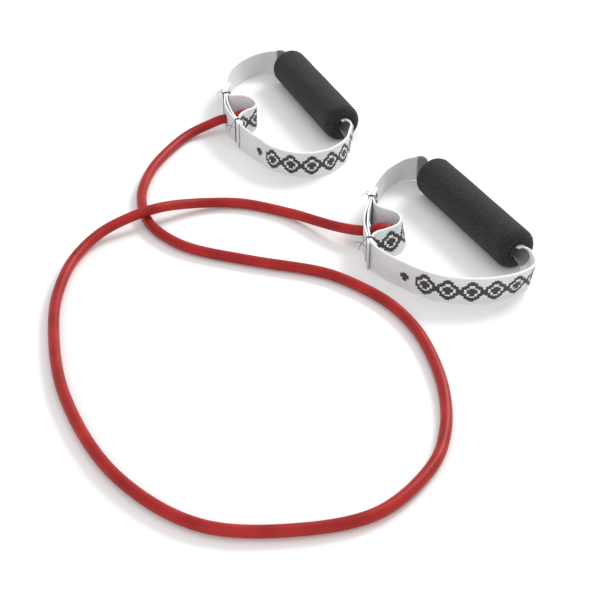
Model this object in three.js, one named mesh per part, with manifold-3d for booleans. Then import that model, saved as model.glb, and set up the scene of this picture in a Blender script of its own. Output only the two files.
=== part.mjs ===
// Resistance band: one rubber tube with a webbing and foam handle at each end, laid on a flat surface.
//
// Millimetres, +Z up, the surface at Z = 0. The origin is the bottom centre of the box round the two
// handles. The tube lies in a loose loop in front of them, towards -Y, and passes over itself once.
//
// A handle is one length of webbing that stands on edge. Seen from above it starts at the lower seam, runs
// up the outer layer of the front panel, along the back arm, through the grip, along the front arm and up
// the inner layer of the panel. It folds back at the upper seam and ends at the lower seam again, after
// the pocket: the small loop that shelters the stopped end of the tube. The tube comes in through holes in
// both layers of the panel, and an eyelet lines the hole in the inner one.
import * as THREE from "three";
import { mergeVertices } from "three/addons/utils/BufferGeometryUtils.js";
import Module from "manifold-3d";

const wasm = await Module();
wasm.setup();

const GAP = 0.3; // between pieces that touch on the real band

// Tube
const TUBE_RADIUS = 4.15;
const TUBE_SIDES = 12;
const TUBE_STEPS = 80;
const TUBE_END = 18; // how far past the inner layer of the panel the tube ends
const STRAIGHT_LEAD = 8; // straight stretch of tube outside the panel
const LYING = TUBE_RADIUS + 0.3; // height of the tube's centre where it lies on the surface

// Stopped end of the tube, swollen over its plug; lengths are from the middle of the panel's inner layer
const SWELL_START = 3;
const SWELL_FULL = 9.5;
const SWELL_RADIUS = 7;
const SWELL_END_RADIUS = 6.3;
const SWELL_ROUND = 1.2;
const PLUG_START = 6.3;
const PLUG_NOSE_RADIUS = 2.6;
const PLUG_RADIUS = 5.6;
const PLUG_TAPER = 4;
const PLUG_HEAD_RADIUS = 6;
const PLUG_HEAD = 1.4;

// Webbing
const WEB_WIDTH = 25;
const WEB_THICKNESS = 1.3;
const WEB_SEGMENTS = 6; // flats across the width, which curls inside the grip
const WEB_MIDDLE = WEB_WIDTH / 2; // height of the webbing's middle, and of the tube where it goes in
const WEB_STEP = 7; // spacing of cross-sections along the webbing
const LAYER = 1.6; // pitch of webbing layers that are sewn together
const EYELET_LAYER = 2.6; // their pitch at the hole, where the eyelet's flange lies between them
const PANEL_BOW = 2.1; // how far the panel bows out between its seams
const PANEL_FLAT = 9; // half the flat stretch of the panel round the hole
const PANEL_SHOULDER = 15.5; // from the hole to the shoulder between the flat stretch and a seam
const SHOULDER_BOW = 0.6; // how far the panel has bowed back at its shoulder
const CUT_END = 8; // from a seam to the cut end of the webbing beyond it
const SEWN = 2.3; // half the stretch on which the layers run side by side at a seam
const CURL_RADIUS = 5.8; // of the webbing's middle surface inside the core tube
const UNCURL_LENGTH = 19; // from the grip's mouth to where the webbing is flat
const SETTLE_LENGTH = 26; // from the grip's mouth to where the webbing stands on the surface
const MOUTH_LEAD = 7; // straight stretch of webbing outside each mouth of the grip
const TUBE_HOLE_RADIUS = 5;

// Seams
const SEAM_HEIGHT = 19;
const SEAM_WIDTH = 2.2;
const STITCH_DEPTH = 0.5;
const THREAD_WIDTH = 0.6;
const SLOT_WIDTH = THREAD_WIDTH + 2 * GAP;

// Eyelet and washer
const EYELET_BORE = 4.6;
const EYELET_WALL = 0.45;
const EYELET_FLANGE_RADIUS = 8;
const EYELET_LIP_RADIUS = 6.3;
const SHEET_METAL = 0.6;
const EYELET_EDGE = 0.3; // rounding of the flange's and lip's edges
const WASHER_RADIUS = 8.2;
const WASHER_THICKNESS = 0.8;
const EYELET_HOLE_RADIUS = EYELET_BORE + EYELET_WALL + GAP;

// Grip
const GRIP_LENGTH = 132;
const GRIP_RADIUS = 17;
const GRIP_ROUND = 7;
const CORE_BORE = 6.9;
const CORE_RADIUS = 8.3;
const CORE_PROUD = 0.8; // how far the core tube stands out of each end of the foam
const CORE_CHAMFER = 0.4;
const FOAM_SIDES = 36;
const CORE_SIDES = 30;
const SMALL_SIDES = 24;

// Each handle's own lie. A panel faces its tube: panelTurn is the angle from +X of the tube's last straight
// stretch, at the hole centre. The seams, the flap and the pocket are given from that centre: a seam as its
// distance up the panel, a point as [inwards, up the panel]. The flap is the folded webbing above the upper
// seam: a line up to the fold. tailBends are how far the outer and the inner cut end turn inwards.
// A third number is the lean: how far the webbing's lower edge stands out beyond its upper edge.
const LEFT = {
  name: "left",
  hole: [-118.2, 78.5],
  panelTurn: 14,
  upperSeam: 26.4,
  lowerSeam: -25.8,
  tailBends: [0.2, 0.8],
  grip: [-40.9, 118.6],
  gripTurn: -67.6,
  backArm: [
    [-124.5, 116.4], [-123.6, 125.8], [-122.3, 141], [-118.7, 157, 0.7], [-112.9, 170, 2], [-105.2, 180.6, 3],
    [-95.8, 188.9, 3], [-85, 194, 2.5], [-75, 193.2, 1],
  ],
  frontArm: [
    [-11.2, 37], [-14.3, 22], [-20.5, 11.5], [-29.3, 1.8], [-38, -3.2], [-46.6, -5.6], [-55, -5.4],
    [-63.7, -3], [-72, 1.2], [-81, 7.6], [-90.3, 20.2], [-99.5, 32.2], [-106.3, 43],
  ],
  flap: [[3, 32.5], [4.9, 38.5], [7.8, 46.2]],
  pocket: [
    [4.7, 22.3], [8, 20.9], [12, 20.4], [17.3, 18], [21.8, 12.5], [24.4, 5], [23.9, -2], [19.3, -7.5],
    [13.4, -10.2], [8.4, -14], [4.9, -18.8],
  ],
};
const RIGHT = {
  name: "right",
  hole: [-2, -108.4],
  panelTurn: -4,
  upperSeam: 32.4,
  lowerSeam: -28.8,
  tailBends: [1, 3.3],
  grip: [83.7, -86.2],
  gripTurn: -64.2,
  backArm: [
    [3.9, -63.1], [10.9, -44, 1.2], [16.3, -31.9, 3], [22.3, -23.8, 4], [28.3, -17.2, 4.5], [34.5, -12.8, 4],
    [43, -10.8, 3], [52, -14.5, 1],
  ],
  frontArm: [
    [120.2, -160, -1], [119.2, -170.5, -4], [110, -179.7, -5], [97.3, -186.7, -3], [80, -191.2, -1],
    [63, -191.2], [48.4, -187.6], [34, -179.5], [19.8, -168], [8, -156.6], [0.5, -145.8],
  ],
  flap: [[2.6, 37], [3.4, 41.5], [4.6, 46]],
  pocket: [
    [4.1, 26.5], [5, 22.4], [7.6, 18.9], [11.5, 16.4, 1], [16.1, 14.7, 2], [22.1, 12.4, 3.5], [26.6, 7.1, 4.5],
    [28.1, -0.2, 5], [25.2, -8.9, 5], [17.8, -14.6, 3.5], [12.2, -17.6, 2.2], [8.2, -19.6, 1.4],
    [5.2, -22.6, 0.7],
  ],
};

// The tube's route between the two straight stretches, from the left handle to the right one.
const ROUTE = [
  [-136.5, 73.3, 9.3], [-154, 62.5, 5.4], [-171, 34, LYING], [-183, 1, LYING], [-188, -35, LYING],
  [-185.5, -60, LYING], [-177, -86, LYING], [-160, -108, LYING], [-140, -122.5, LYING],
  [-93, -139, LYING], [-37, -155.5, LYING], [-12, -172.5, LYING], [11, -196, LYING],
  [28, -227, LYING], [38, -264, LYING], [42, -302, LYING], [39, -339, LYING], [28, -371.5, LYING],
  [-9, -414, LYING], [-60, -428.5, LYING], [-118, -424.5, LYING], [-173, -382, LYING],
  [-217, -302, LYING], [-236, -221, LYING], [-238, -176, LYING], [-231, -134, 5], [-213, -103.5, 8.6],
  [-189, -86, 12.6], [-176, -78, 13], [-162, -69, 11.2], [-133, -56, 6], [-103, -54.5, LYING],
  [-64, -70, 4.8], [-27, -98.5, 10.2],
];

const MATERIALS = {
  rubber: { color: 0xa8262a, roughness: 0.35, metalness: 0 },
  plug: { color: 0x7d1a1e, roughness: 0.5, metalness: 0 },
  webbing: { color: 0xd9d9d6, roughness: 0.85, metalness: 0 },
  thread: { color: 0x2b2b2e, roughness: 0.8, metalness: 0 },
  foam: { color: 0x3a3b3d, roughness: 0.95, metalness: 0 },
  core: { color: 0x26272a, roughness: 0.4, metalness: 0 },
  steel: { color: 0xb9bcc0, roughness: 0.3, metalness: 1 },
};

// ---------------------------------------------------------------- helpers

function part(name, geometry, finish) {
  const mesh = new THREE.Mesh(geometry, new THREE.MeshStandardMaterial(MATERIALS[finish]));
  mesh.name = name;
  return mesh;
}

function toSolid(geometry) {
  const bare = geometry.clone();
  bare.deleteAttribute("normal");
  bare.deleteAttribute("uv");
  const merged = mergeVertices(bare, 1e-4);
  const vertProperties = merged.attributes.position.array;
  const triVerts = new Uint32Array(merged.index.array);
  return new wasm.Manifold(new wasm.Mesh({ numProp: 3, vertProperties, triVerts }));
}

function toGeometry(solid) {
  const { vertProperties, triVerts } = solid.getMesh();
  const geometry = new THREE.BufferGeometry();
  geometry.setAttribute("position", new THREE.BufferAttribute(vertProperties, 3));
  geometry.setIndex(new THREE.BufferAttribute(triVerts, 1));
  return geometry;
}

// A solid of revolution about +X from a profile of [x, radius] points, whose outside runs towards +X.
function turned(profile, sides) {
  const points = profile.map(([x, radius]) => new THREE.Vector2(radius, x));
  return new THREE.LatheGeometry(points, sides).rotateZ(-Math.PI / 2);
}

// A box between two corners.
function block([x0, y0, z0], [x1, y1, z1]) {
  const box = new THREE.BoxGeometry(x1 - x0, y1 - y0, z1 - z0);
  return box.translate((x0 + x1) / 2, (y0 + y1) / 2, (z0 + z1) / 2);
}

// Moves a geometry from a frame that stands at (x, y), turned about +Z, into the band's frame.
function placed(geometry, [x, y], turnDegrees) {
  return geometry.rotateZ(THREE.MathUtils.degToRad(turnDegrees)).translate(x, y, 0);
}

function pointFrom([x, y], turnDegrees, along, across) {
  const turn = THREE.MathUtils.degToRad(turnDegrees);
  return new THREE.Vector3(
    x + along * Math.cos(turn) - across * Math.sin(turn),
    y + along * Math.sin(turn) + across * Math.cos(turn),
    0,
  );
}

// ---------------------------------------------------------------- webbing

// Points on a smooth curve through the given ones, about WEB_STEP apart or as close as they are given.
function smoothed(points) {
  const curve = new THREE.CatmullRomCurve3(points, false, "centripetal");
  const spans = points.length - 1;
  const found = [];
  for (let i = 0; i < spans; i++) {
    const steps = Math.ceil(points[i].distanceTo(points[i + 1]) / WEB_STEP);
    for (let k = 0; k < steps; k++) found.push(curve.getPoint((i + k / steps) / spans));
  }
  found.push(points[spans].clone());
  return found;
}

// Distance of each point from the last one, measured along the line.
function lengthsToEnd(points) {
  const lengths = [0];
  for (let i = points.length - 1; i > 0; i--) {
    lengths.unshift(lengths[0] + points[i].distanceTo(points[i - 1]));
  }
  return lengths;
}

// The webbing's cross-sections, from one cut end to the other: { centre, fromGrip }, where a centre holds
// the place seen from above and, as its z, the lean.
function webbingLine(handle) {
  const onPanel = ([inward, up, lean = 0]) => pointFrom(handle.hole, handle.panelTurn, inward, up).setZ(lean);
  const onGrip = (along) => pointFrom(handle.grip, handle.gripTurn, along, CURL_RADIUS);
  const inPlan = ([x, y, lean = 0]) => new THREE.Vector3(x, y, lean);
  const half = GRIP_LENGTH / 2;
  const { upperSeam, lowerSeam, flap } = handle;
  const [outerBend, innerBend] = handle.tailBends;

  // Up the panel, a given pitch outside its inner layer at the seams and another at the hole
  const layer = (atSeams, atHole) => {
    const seams = PANEL_BOW - atSeams;
    const shoulders = SHOULDER_BOW - (atSeams + atHole) / 2;
    return [
      [seams, lowerSeam - SEWN], [seams, lowerSeam + SEWN], [shoulders, -PANEL_SHOULDER], [-atHole, -PANEL_FLAT],
      [-atHole, PANEL_FLAT], [shoulders, PANEL_SHOULDER], [seams, upperSeam - SEWN], [seams, upperSeam + SEWN],
    ];
  };
  const tail = (atSeams, bend) => [
    [PANEL_BOW - atSeams + bend / 3, lowerSeam - CUT_END / 2],
    [PANEL_BOW - atSeams + bend, lowerSeam - CUT_END],
  ];
  const tip = flap[flap.length - 1];
  const fold = [[tip[0] + LAYER / 2, tip[1] + LAYER / 2], [tip[0] + LAYER, tip[1]]];
  const flapDown = flap.slice(0, -1).reverse().map(([inward, up]) => [inward + LAYER, up]);
  const inner = PANEL_BOW + LAYER;

  const toGrip = smoothed([
    ...[...tail(LAYER, outerBend).reverse(), ...layer(LAYER, EYELET_LAYER)].map(onPanel),
    ...handle.backArm.map(inPlan), onGrip(-half - MOUTH_LEAD), onGrip(-half),
  ]);
  const fromGrip = smoothed([
    onGrip(half), onGrip(half + MOUTH_LEAD), ...handle.frontArm.map(inPlan),
    ...[
      ...layer(0, 0), ...flap, ...fold, ...flapDown, [inner, upperSeam + SEWN], [inner, upperSeam - SEWN],
      ...handle.pocket, [inner, lowerSeam + SEWN], [inner, lowerSeam - SEWN], ...tail(-LAYER, innerBend),
    ].map(onPanel),
  ]);
  const before = lengthsToEnd(toGrip);
  const after = lengthsToEnd([...fromGrip].reverse()).reverse();
  return [
    ...toGrip.map((centre, i) => ({ centre, fromGrip: before[i] })),
    ...fromGrip.map((centre, i) => ({ centre, fromGrip: after[i] })),
  ];
}

// One cross-section as a closed ring of points: up the outer face, down the inner one. The width stands
// upright where the webbing is flat, and curls into a C, its edges inwards, where the grip holds it.
function webbingRing(centre, outward, fromGrip) {
  const tilt = Math.asin(centre.z / WEB_WIDTH);
  const faceWay = outward.clone().multiplyScalar(Math.cos(tilt)).setZ(Math.sin(tilt));
  const widthWay = outward.clone().multiplyScalar(-Math.sin(tilt)).setZ(Math.cos(tilt));
  const curl = 1 - THREE.MathUtils.smoothstep(fromGrip, 0, UNCURL_LENGTH);
  const lift = 1 - THREE.MathUtils.smoothstep(fromGrip, 0, SETTLE_LENGTH);
  const onCorner = (WEB_THICKNESS / 2) * Math.abs(Math.sin(tilt)); // leaning webbing stands on one corner
  const middle = THREE.MathUtils.lerp(WEB_MIDDLE, GRIP_RADIUS, lift) + onCorner;
  const bend = curl / CURL_RADIUS;
  const faceEdge = (offset, j) => {
    const across = (j / WEB_SEGMENTS - 0.5) * WEB_WIDTH;
    const angle = bend * across;
    const chord = bend > 1e-6 ? Math.sin(angle) / bend : across;
    const sink = bend > 1e-6 ? (1 - Math.cos(angle)) / bend : 0;
    return new THREE.Vector3(centre.x, centre.y, middle)
      .addScaledVector(faceWay, offset * Math.cos(angle) - sink)
      .addScaledVector(widthWay, chord + offset * Math.sin(angle));
  };
  const ring = [];
  for (let j = 0; j <= WEB_SEGMENTS; j++) ring.push(faceEdge(WEB_THICKNESS / 2, j));
  for (let j = WEB_SEGMENTS; j >= 0; j--) ring.push(faceEdge(-WEB_THICKNESS / 2, j));
  return ring;
}

// The webbing as one closed sweep of rings, before its holes are cut.
function webbingSweep(handle) {
  const line = webbingLine(handle);
  const positions = [];
  line.forEach(({ centre, fromGrip }, i) => {
    const previous = line[Math.max(i - 1, 0)].centre;
    const next = line[Math.min(i + 1, line.length - 1)].centre;
    const ahead = next.clone().sub(previous).setZ(0).normalize();
    const outward = new THREE.Vector3(-ahead.y, ahead.x, 0);
    webbingRing(centre, outward, fromGrip).forEach((p) => positions.push(p.x, p.y, p.z));
  });
  const around = 2 * (WEB_SEGMENTS + 1);
  const index = [];
  const quad = (a, b, c, d) => index.push(a, b, c, a, c, d);
  for (let i = 0; i + 1 < line.length; i++) {
    for (let j = 0; j < around; j++) {
      const k = (j + 1) % around;
      quad(i * around + j, i * around + k, (i + 1) * around + k, (i + 1) * around + j);
    }
  }
  const last = (line.length - 1) * around;
  for (let j = 0; j < WEB_SEGMENTS; j++) {
    const across = around - 1 - j;
    quad(j, across, across - 1, j + 1);
    quad(last + j, last + j + 1, last + across - 1, last + across);
  }
  const geometry = new THREE.BufferGeometry();
  geometry.setAttribute("position", new THREE.Float32BufferAttribute(positions, 3));
  geometry.setIndex(index);
  return geometry;
}

function strap(handle) {
  const onPanel = (geometry) => toSolid(placed(geometry, handle.hole, handle.panelTurn));
  const drill = (from, to, radius) =>
    onPanel(
      turned([[from, 0], [from, radius], [to, radius], [to, 0]], SMALL_SIDES).translate(0, 0, WEB_MIDDLE),
    );
  const slot = (y) => {
    const low = WEB_MIDDLE - SEAM_HEIGHT / 2 + STITCH_DEPTH - GAP;
    const reach = LAYER + WEB_THICKNESS;
    return onPanel(
      block(
        [PANEL_BOW - reach, y - SLOT_WIDTH / 2, low],
        [PANEL_BOW + reach, y + SLOT_WIDTH / 2, 2 * WEB_MIDDLE - low],
      ),
    );
  };
  const cut = toSolid(webbingSweep(handle))
    .subtract(drill(-10, -LAYER / 2, TUBE_HOLE_RADIUS))
    .subtract(drill(-LAYER / 2, LAYER / 2, EYELET_HOLE_RADIUS))
    .subtract(slot(handle.upperSeam))
    .subtract(slot(handle.lowerSeam));
  return part(`${handle.name}_strap`, toGeometry(cut), "webbing");
}

// ---------------------------------------------------------------- pieces on the panel

// A row of stitches through all the layers, with a band of thread on each face.
function seam(name, y) {
  const face = LAYER + WEB_THICKNESS / 2 + GAP;
  const low = WEB_MIDDLE - SEAM_HEIGHT / 2;
  const high = WEB_MIDDLE + SEAM_HEIGHT / 2;
  const band = (from, to) => toSolid(block([from, y - SEAM_WIDTH / 2, low], [to, y + SEAM_WIDTH / 2, high]));
  const reach = face + STITCH_DEPTH / 2;
  const through = toSolid(
    block(
      [-reach, y - THREAD_WIDTH / 2, low + STITCH_DEPTH],
      [reach, y + THREAD_WIDTH / 2, high - STITCH_DEPTH],
    ),
  );
  const sewn = through.add(band(face, face + STITCH_DEPTH)).add(band(-face - STITCH_DEPTH, -face));
  return part(name, toGeometry(sewn).translate(PANEL_BOW, 0, 0), "thread");
}

function eyelet(name) {
  const front = -WEB_THICKNESS / 2 - GAP;
  const back = WEB_THICKNESS / 2 + GAP + WASHER_THICKNESS + GAP;
  const barrel = EYELET_BORE + EYELET_WALL;
  const profile = [
    [front - SHEET_METAL, EYELET_BORE], [front - SHEET_METAL, EYELET_FLANGE_RADIUS - EYELET_EDGE],
    [front, EYELET_FLANGE_RADIUS], [front, barrel], [back, barrel], [back, EYELET_LIP_RADIUS],
    [back + SHEET_METAL, EYELET_LIP_RADIUS - EYELET_EDGE], [back + SHEET_METAL, EYELET_BORE],
    [front - SHEET_METAL, EYELET_BORE],
  ];
  return part(name, turned(profile, SMALL_SIDES), "steel");
}

function eyeletWasher(name) {
  const inner = EYELET_HOLE_RADIUS;
  const from = WEB_THICKNESS / 2 + GAP;
  const to = from + WASHER_THICKNESS;
  const profile = [[from, inner], [from, WASHER_RADIUS], [to, WASHER_RADIUS], [to, inner], [from, inner]];
  return part(name, turned(profile, SMALL_SIDES), "steel");
}

function stopPlug(name) {
  const head = TUBE_END + GAP;
  const profile = [
    [PLUG_START, 0], [PLUG_START, PLUG_NOSE_RADIUS], [PLUG_START + PLUG_TAPER, PLUG_RADIUS],
    [head, PLUG_RADIUS], [head, PLUG_HEAD_RADIUS], [head + PLUG_HEAD / 2, PLUG_HEAD_RADIUS],
    [head + PLUG_HEAD, PLUG_NOSE_RADIUS], [head + PLUG_HEAD, 0],
  ];
  return part(name, turned(profile, SMALL_SIDES), "plug");
}

// ---------------------------------------------------------------- grip

function foamGrip(name) {
  const half = GRIP_LENGTH / 2;
  const bore = CORE_RADIUS + GAP;
  const arcSteps = 4;
  const roundEnd = (end) => {
    const points = [];
    for (let i = 0; i <= arcSteps; i++) {
      const angle = (i / arcSteps) * (Math.PI / 2);
      points.push([
        end * (half - GRIP_ROUND + GRIP_ROUND * Math.cos(angle)),
        GRIP_RADIUS - GRIP_ROUND + GRIP_ROUND * Math.sin(angle),
      ]);
    }
    return points;
  };
  const profile = [[-half, bore], ...roundEnd(-1), ...roundEnd(1).reverse(), [half, bore], [-half, bore]];
  return part(name, turned(profile, FOAM_SIDES), "foam");
}

function coreTube(name) {
  const end = GRIP_LENGTH / 2 + CORE_PROUD;
  const profile = [
    [-end, CORE_BORE], [-end, CORE_RADIUS - CORE_CHAMFER], [CORE_CHAMFER - end, CORE_RADIUS],
    [end - CORE_CHAMFER, CORE_RADIUS], [end, CORE_RADIUS - CORE_CHAMFER], [end, CORE_BORE], [-end, CORE_BORE],
  ];
  return part(name, turned(profile, CORE_SIDES), "core");
}

// ---------------------------------------------------------------- tube

function tubeRoute() {
  const onAxis = (handle, inward) => {
    return pointFrom(handle.hole, handle.panelTurn, inward, 0).setZ(WEB_MIDDLE);
  };
  return new THREE.CatmullRomCurve3(
    [
      onAxis(LEFT, TUBE_END), onAxis(LEFT, 0), onAxis(LEFT, -STRAIGHT_LEAD),
      ...ROUTE.map((p) => new THREE.Vector3(...p)),
      onAxis(RIGHT, -STRAIGHT_LEAD), onAxis(RIGHT, 0), onAxis(RIGHT, TUBE_END),
    ],
    false,
    "centripetal",
  );
}

function tubing() {
  const section = new THREE.Shape();
  section.absarc(0, 0, TUBE_RADIUS, 0, 2 * Math.PI);
  const swept = new THREE.ExtrudeGeometry(section, {
    steps: TUBE_STEPS,
    curveSegments: TUBE_SIDES / 2, // per half turn
    bevelEnabled: false,
    extrudePath: tubeRoute(),
  });
  const swelling = [
    [SWELL_START - 1, 0], [SWELL_START - 1, TUBE_RADIUS - 0.5], [SWELL_START, TUBE_RADIUS],
    [SWELL_FULL, SWELL_RADIUS], [TUBE_END - SWELL_ROUND, SWELL_RADIUS], [TUBE_END, SWELL_END_RADIUS],
    [TUBE_END, 0],
  ];
  const seat = PLUG_RADIUS + GAP;
  const socket = [
    [PLUG_START - GAP, 0], [PLUG_START - GAP, PLUG_NOSE_RADIUS + GAP], [PLUG_START + PLUG_TAPER - GAP, seat],
    [TUBE_END + 1, seat], [TUBE_END + 1, 0],
  ];
  let solid = toSolid(swept);
  for (const handle of [LEFT, RIGHT]) {
    const atHole = (profile) => {
      const shape = turned(profile, SMALL_SIDES).translate(0, 0, WEB_MIDDLE);
      return toSolid(placed(shape, handle.hole, handle.panelTurn));
    };
    solid = solid.add(atHole(swelling)).subtract(atHole(socket));
  }
  return part("tubing", toGeometry(solid), "rubber");
}

// ---------------------------------------------------------------- assembly

function handleGroup(handle) {
  const { name } = handle;
  const atTube = new THREE.Group();
  atTube.add(eyelet(`${name}_eyelet`), eyeletWasher(`${name}_eyelet_washer`), stopPlug(`${name}_stop_plug`));
  atTube.position.z = WEB_MIDDLE;

  const panel = new THREE.Group();
  panel.add(
    atTube, seam(`${name}_upper_seam`, handle.upperSeam), seam(`${name}_lower_seam`, handle.lowerSeam),
  );
  panel.position.set(...handle.hole, 0);
  panel.rotation.z = THREE.MathUtils.degToRad(handle.panelTurn);

  const grip = new THREE.Group();
  grip.add(foamGrip(`${name}_foam_grip`), coreTube(`${name}_core_tube`));
  grip.position.set(...handle.grip, GRIP_RADIUS);
  grip.rotation.z = THREE.MathUtils.degToRad(handle.gripTurn);

  const group = new THREE.Group();
  group.add(strap(handle), panel, grip);
  return group;
}

const band = new THREE.Group();
band.add(tubing(), handleGroup(LEFT), handleGroup(RIGHT));

export default band;
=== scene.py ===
"""The looks of the resistance band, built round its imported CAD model. Metres, +Z up, the surface at Z = 0.

Every piece is made from a line and a section: the tube and the webbing are swept along the same plans as
their CAD solids, and the grips, eyelets and plugs are turned on their own axes. The finishes are procedural.
"""

import math

import bmesh
import bpy
from mathutils import Matrix, Vector, noise


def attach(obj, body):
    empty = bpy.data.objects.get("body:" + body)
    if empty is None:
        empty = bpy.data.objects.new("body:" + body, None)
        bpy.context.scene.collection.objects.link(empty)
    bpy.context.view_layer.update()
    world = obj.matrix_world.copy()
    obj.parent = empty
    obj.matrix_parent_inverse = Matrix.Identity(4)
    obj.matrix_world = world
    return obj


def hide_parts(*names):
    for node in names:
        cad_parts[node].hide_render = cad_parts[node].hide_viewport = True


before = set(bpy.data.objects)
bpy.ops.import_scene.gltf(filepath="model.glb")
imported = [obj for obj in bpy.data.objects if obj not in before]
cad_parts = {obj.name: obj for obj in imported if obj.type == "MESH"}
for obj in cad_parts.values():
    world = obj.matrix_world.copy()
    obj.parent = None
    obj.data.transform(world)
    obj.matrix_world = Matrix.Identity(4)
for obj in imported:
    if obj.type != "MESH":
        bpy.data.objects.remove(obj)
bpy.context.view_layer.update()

# ------------------------------------------------------------------ sizes, as in the CAD model

TUBE_RADIUS = 0.00415
TUBE_END = 0.018  # how far past the inner layer of the panel the tube ends
STRAIGHT_LEAD = 0.008
LYING = TUBE_RADIUS + 0.0003

# The tube's radius by distance from its end, where it is swollen over the plug, and that of its socket.
SWELLING = [(0.0, 0.0063), (0.0012, 0.0070), (0.0085, 0.0070), (0.015, TUBE_RADIUS)]
SOCKET = [(0.0, 0.0059), (0.0079, 0.0059), (0.0120, 0.0029)]
SOCKET_DEPTH = 0.0120
PLUG_DEPTH = 0.0117
PLUG_NOSE_RADIUS = 0.0026
PLUG_TAPER = 0.004
PLUG_RADIUS = 0.0056
PLUG_HEAD_RADIUS = 0.0060
PLUG_HEAD = 0.0014

WEB_WIDTH = 0.025
WEB_THICKNESS = 0.0013
WEB_MIDDLE = WEB_WIDTH / 2
LAYER = 0.0016  # pitch of webbing layers that are sewn together
EYELET_LAYER = 0.0026  # their pitch at the hole
PANEL_BOW = 0.0021  # how far the panel bows out between its seams
PANEL_FLAT = 0.009
PANEL_SHOULDER = 0.0155
SHOULDER_BOW = 0.0006
CUT_END = 0.008
SEWN = 0.0023
CURL_RADIUS = 0.0058
UNCURL_LENGTH = 0.019
SETTLE_LENGTH = 0.026
MOUTH_LEAD = 0.007
OUTER_HOLE_RADIUS = 0.0046  # 0.4 mm tighter than in the CAD model, to close on the tube
INNER_HOLE_RADIUS = 0.00535

SEAM_HEIGHT = 0.019
SEAM_WIDTH = 0.0022
THREAD_RADIUS = 0.00021  # of a single stitch, which the CAD model doesn't have

GRIP_LENGTH = 0.132
GRIP_RADIUS = 0.017
GRIP_ROUND = 0.007
CORE_BORE = 0.0069
CORE_RADIUS = 0.0083
CORE_PROUD = 0.0008

EYELET_BORE = 0.0046
EYELET_WALL = 0.00045
EYELET_FLANGE_RADIUS = 0.008
EYELET_LIP_RADIUS = 0.0063
SHEET_METAL = 0.0006
WASHER_RADIUS = 0.0082
WASHER_THICKNESS = 0.0008
GAP = 0.0003

# Each handle's own lie. The seams, flap and pocket are given from the hole's centre: a seam as its distance
# up the panel, a point as [inwards, up the panel]. A third number is the lean: how far the webbing's lower
# edge stands out beyond its upper edge.
LEFT = {
    "name": "left",
    "hole": (-0.1182, 0.0785),
    "panel_turn": 14,
    "upper_seam": 0.0264,
    "lower_seam": -0.0258,
    "tail_bends": (0.0002, 0.0008),
    "web_length": 0.682,
    "grip": (-0.0409, 0.1186),
    "grip_turn": -67.6,
    "back_arm": [
        (-0.1245, 0.1164), (-0.1236, 0.1258), (-0.1223, 0.141), (-0.1187, 0.157, 0.0007),
        (-0.1129, 0.170, 0.002), (-0.1052, 0.1806, 0.003), (-0.0958, 0.1889, 0.003),
        (-0.085, 0.194, 0.0025), (-0.075, 0.1932, 0.001),
    ],
    "front_arm": [
        (-0.0112, 0.037), (-0.0143, 0.022), (-0.0205, 0.0115), (-0.0293, 0.0018), (-0.038, -0.0032),
        (-0.0466, -0.0056), (-0.055, -0.0054), (-0.0637, -0.003), (-0.072, 0.0012), (-0.081, 0.0076),
        (-0.0903, 0.0202), (-0.0995, 0.0322), (-0.1063, 0.043),
    ],
    "flap": [(0.003, 0.0325), (0.0049, 0.0385), (0.0078, 0.0462)],
    "pocket": [
        (0.0047, 0.0223), (0.008, 0.0209), (0.012, 0.0204), (0.0173, 0.018), (0.0218, 0.0125),
        (0.0244, 0.005), (0.0239, -0.002), (0.0193, -0.0075), (0.0134, -0.0102), (0.0084, -0.014),
        (0.0049, -0.0188),
    ],
}
RIGHT = {
    "name": "right",
    "hole": (-0.002, -0.1084),
    "panel_turn": -4,
    "upper_seam": 0.0324,
    "lower_seam": -0.0288,
    "tail_bends": (0.001, 0.0033),
    "web_length": 0.672,
    "grip": (0.0837, -0.0862),
    "grip_turn": -64.2,
    "back_arm": [
        (0.0039, -0.0631), (0.0109, -0.044, 0.0012), (0.0163, -0.0319, 0.003), (0.0223, -0.0238, 0.004),
        (0.0283, -0.0172, 0.0045), (0.0345, -0.0128, 0.004), (0.043, -0.0108, 0.003),
        (0.052, -0.0145, 0.001),
    ],
    "front_arm": [
        (0.1202, -0.160, -0.001), (0.1192, -0.1705, -0.004), (0.110, -0.1797, -0.005),
        (0.0973, -0.1867, -0.003), (0.080, -0.1912, -0.001), (0.063, -0.1912), (0.0484, -0.1876),
        (0.034, -0.1795), (0.0198, -0.168), (0.008, -0.1566), (0.0005, -0.1458),
    ],
    "flap": [(0.0026, 0.037), (0.0034, 0.0415), (0.0046, 0.046)],
    "pocket": [
        (0.0041, 0.0265), (0.005, 0.0224), (0.0076, 0.0189), (0.0115, 0.0164, 0.001),
        (0.0161, 0.0147, 0.002), (0.0221, 0.0124, 0.0035), (0.0266, 0.0071, 0.0045),
        (0.0281, -0.0002, 0.005), (0.0252, -0.0089, 0.005), (0.0178, -0.0146, 0.0035),
        (0.0122, -0.0176, 0.0022), (0.0082, -0.0196, 0.0014), (0.0052, -0.0226, 0.0007),
    ],
}
HANDLES = [LEFT, RIGHT]

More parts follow.
